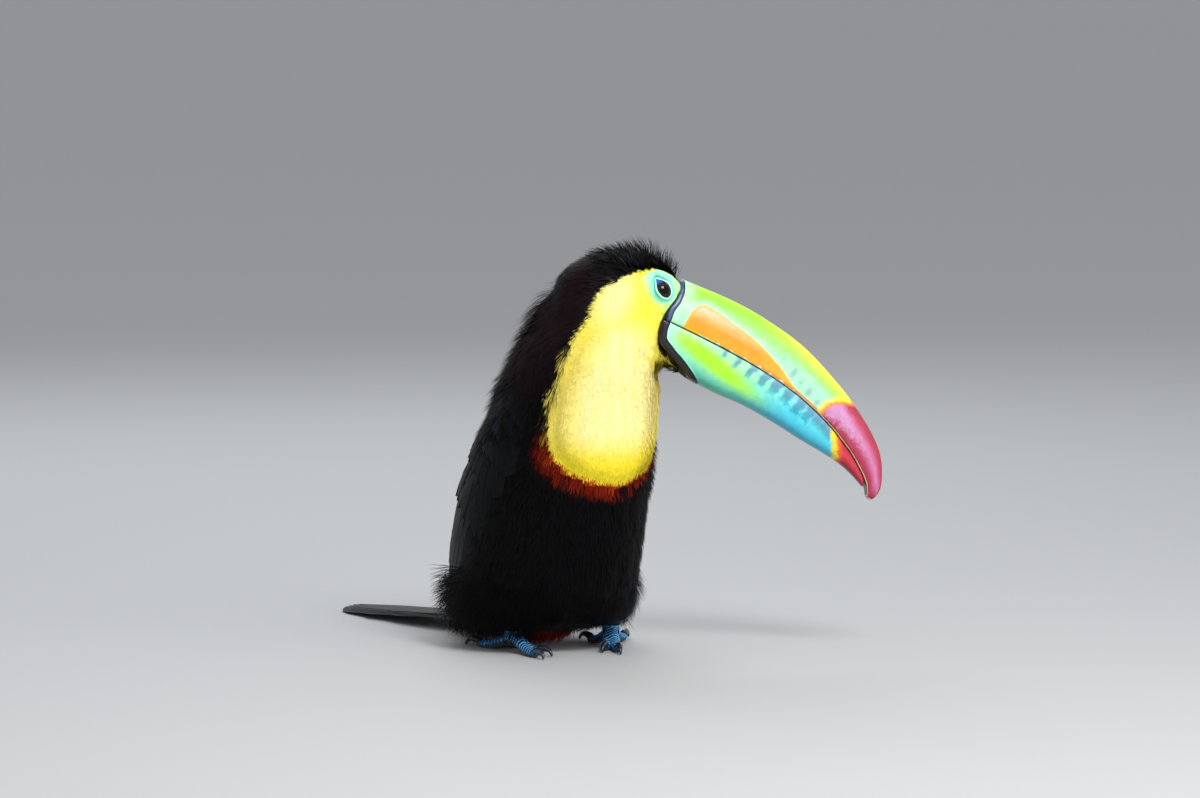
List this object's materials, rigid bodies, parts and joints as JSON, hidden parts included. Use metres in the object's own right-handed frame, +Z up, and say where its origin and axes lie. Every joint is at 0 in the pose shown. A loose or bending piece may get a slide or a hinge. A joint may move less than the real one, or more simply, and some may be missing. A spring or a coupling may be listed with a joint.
{
  "type": "toucan",
  "caption": "Life-size keel-billed toucan standing on both feet, head turned to its left, bill down, tail laid back on the floor; a still model.",
  "frame": {"origin": "centre of the bird's bounding box, on the floor it stands on", "axes": "+Z up, the body faces -Y and the tail lies along +Y, so the bird's left is +X"},
  "size_m": [0.1832, 0.325, 0.2144],
  "materials": {
    "plumage_black": "matte feathers",
    "plumage_yellow": "matte feathers",
    "plumage_red": "matte feathers",
    "bill": "satin horn",
    "eye": "wet gloss",
    "foot_skin": "scaly skin",
    "claw": "polished horn"
  },
  "bodies": {
    "root": {"bill_lower": "bill", "bill_upper": "bill", "claw_left_inner_back": "claw", "claw_left_inner_front": "claw", "claw_left_outer_back": "claw", "claw_left_outer_front": "claw", "claw_right_inner_back": "claw", "claw_right_inner_front": "claw", "claw_right_outer_back": "claw", "claw_right_outer_front": "claw", "eye_left": "eye", "eye_right": "eye", "head": "plumage_black", "leg_left": "foot_skin", "leg_right": "foot_skin", "neck": "plumage_yellow", "rump": "plumage_red", "tail": "plumage_black", "toe_left_inner_back": "foot_skin", "toe_left_inner_front": "foot_skin", "toe_left_outer_back": "foot_skin", "toe_left_outer_front": "foot_skin", "toe_right_inner_back": "foot_skin", "toe_right_inner_front": "foot_skin", "toe_right_outer_back": "foot_skin", "toe_right_outer_front": "foot_skin", "trunk": "plumage_black", "wing_left": "plumage_black", "wing_right": "plumage_black"}
  },
  "joints": []
}
